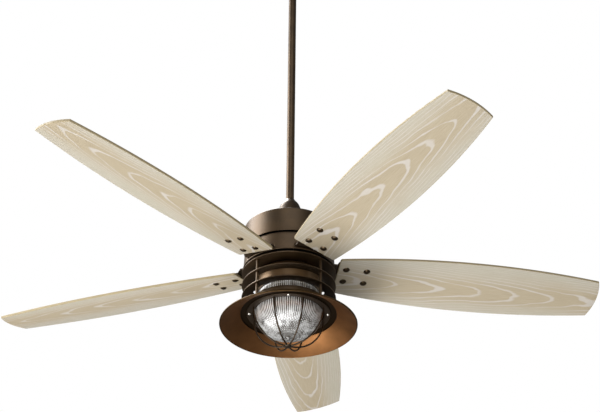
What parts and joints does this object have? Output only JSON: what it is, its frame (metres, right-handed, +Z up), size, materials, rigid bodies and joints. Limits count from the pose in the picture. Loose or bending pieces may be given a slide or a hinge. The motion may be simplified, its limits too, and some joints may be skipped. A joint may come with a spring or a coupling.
{
  "type": "ceiling fan with light",
  "caption": "Downrod ceiling fan with pitched wooden blades on a drum motor housing, and a louvred light kit with a flared shade, ribbed glass jar and wire guard.",
  "frame": {"origin": "centre of the hanger bracket's ceiling face, on the fan's axis", "axes": "+Z up along the fan's axis into the ceiling, X along the line of the two ceiling screw slots"},
  "size_m": [1.4586, 1.4372, 1.1511],
  "materials": {
    "bronze_paint": "satin oil-rubbed bronze powder coat",
    "guard_bronze": "satin dark bronze enamel on steel wire",
    "arm_bronze": "satin dark bronze paint on cast metal",
    "shade_bronze_copper": "satin bronze outside, brushed copper-brown inside",
    "washed_oak": "matt white-washed weathered oak",
    "ribbed_glass": "clear prismatic ribbed glass",
    "lamp_glass": "frosted lamp glass",
    "screw_bronze": "aged bronze screw heads",
    "screw_brass": "threaded lamp cap",
    "bright_screw": "bright plated screw heads",
    "zinc_steel": "zinc plated steel",
    "black_steel": "black oxide",
    "motor_black": "matt black motor enamel",
    "core_steel": "laminated electrical steel",
    "bearing_steel": "ground bearing steel",
    "copper_wire": "varnished copper windings",
    "lead_insulation": "lead insulation",
    "porcelain": "glazed porcelain",
    "reflector_white": "white enamel",
    "gasket_rubber": "rubber gasket"
  },
  "bodies": {
    "ceiling_mount": {"hanger_bracket": "zinc_steel", "canopy": "bronze_paint", "canopy_screws": "screw_bronze"},
    "fan_body": {"hanger_ball": "black_steel", "ball_pin": "zinc_steel", "downrod": "bronze_paint", "supply_leads": "lead_insulation", "coupling": "black_steel", "rod_pin": "zinc_steel", "coupling_set_screws": "zinc_steel", "motor_shaft": "zinc_steel", "upper_housing": "bronze_paint", "housing_screws": "zinc_steel", "stator_core": "core_steel", "stator_windings": "copper_wire", "bearing_inner_races": "bearing_steel", "bearing_balls": "bearing_steel", "kit_spacer": "zinc_steel", "kit_top_plate": "bronze_paint", "kit_nut": "zinc_steel", "fitter_cup": "bronze_paint", "fitter_screws": "zinc_steel", "louvre_upper": "bronze_paint", "louvre_lower": "bronze_paint", "kit_posts": "bronze_paint", "post_screws": "screw_bronze", "socket_plate": "reflector_white", "lamp_socket": "porcelain", "lamp_base": "screw_brass", "lamp_bulb": "lamp_glass", "glass_gasket": "gasket_rubber", "glass_jar": "ribbed_glass", "glass_collar": "bronze_paint", "shade": "shade_bronze_copper", "guard": "guard_bronze", "guard_screws": "bright_screw", "guard_nuts": "zinc_steel"},
    "coupling_cover": {"coupling_cover": "bronze_paint"},
    "rotor": {"bearing_outer_races": "bearing_steel", "rotor_ring": "core_steel", "rotor_case_top": "motor_black", "rotor_case_bottom": "motor_black", "case_screws": "zinc_steel", "rotor_band": "bronze_paint", "blade_arm_1": "arm_bronze", "blade_arm_2": "arm_bronze", "blade_arm_3": "arm_bronze", "blade_arm_4": "arm_bronze", "blade_arm_5": "arm_bronze", "arm_screws": "zinc_steel", "blade_1": "washed_oak", "blade_2": "washed_oak", "blade_3": "washed_oak", "blade_4": "washed_oak", "blade_5": "washed_oak", "blade_screws": "screw_bronze"}
  },
  "joints": [
    {"name": "hanger_ball_tilt", "type": "hinge", "parent": "ceiling_mount", "child": "fan_body", "pos_m": [0, 0, -0.044], "axis": [0, 1, 0], "range_deg": [-12, 12]},
    {"name": "coupling_cover_lift", "type": "slide", "parent": "fan_body", "child": "coupling_cover", "axis": [0, 0, 1], "range_m": [0, 0.12]},
    {"name": "rotor_spin", "type": "hinge", "parent": "fan_body", "child": "rotor", "pos_m": [0, 0, -0.9482], "axis": [0, 0, 1], "continuous": true}
  ]
}
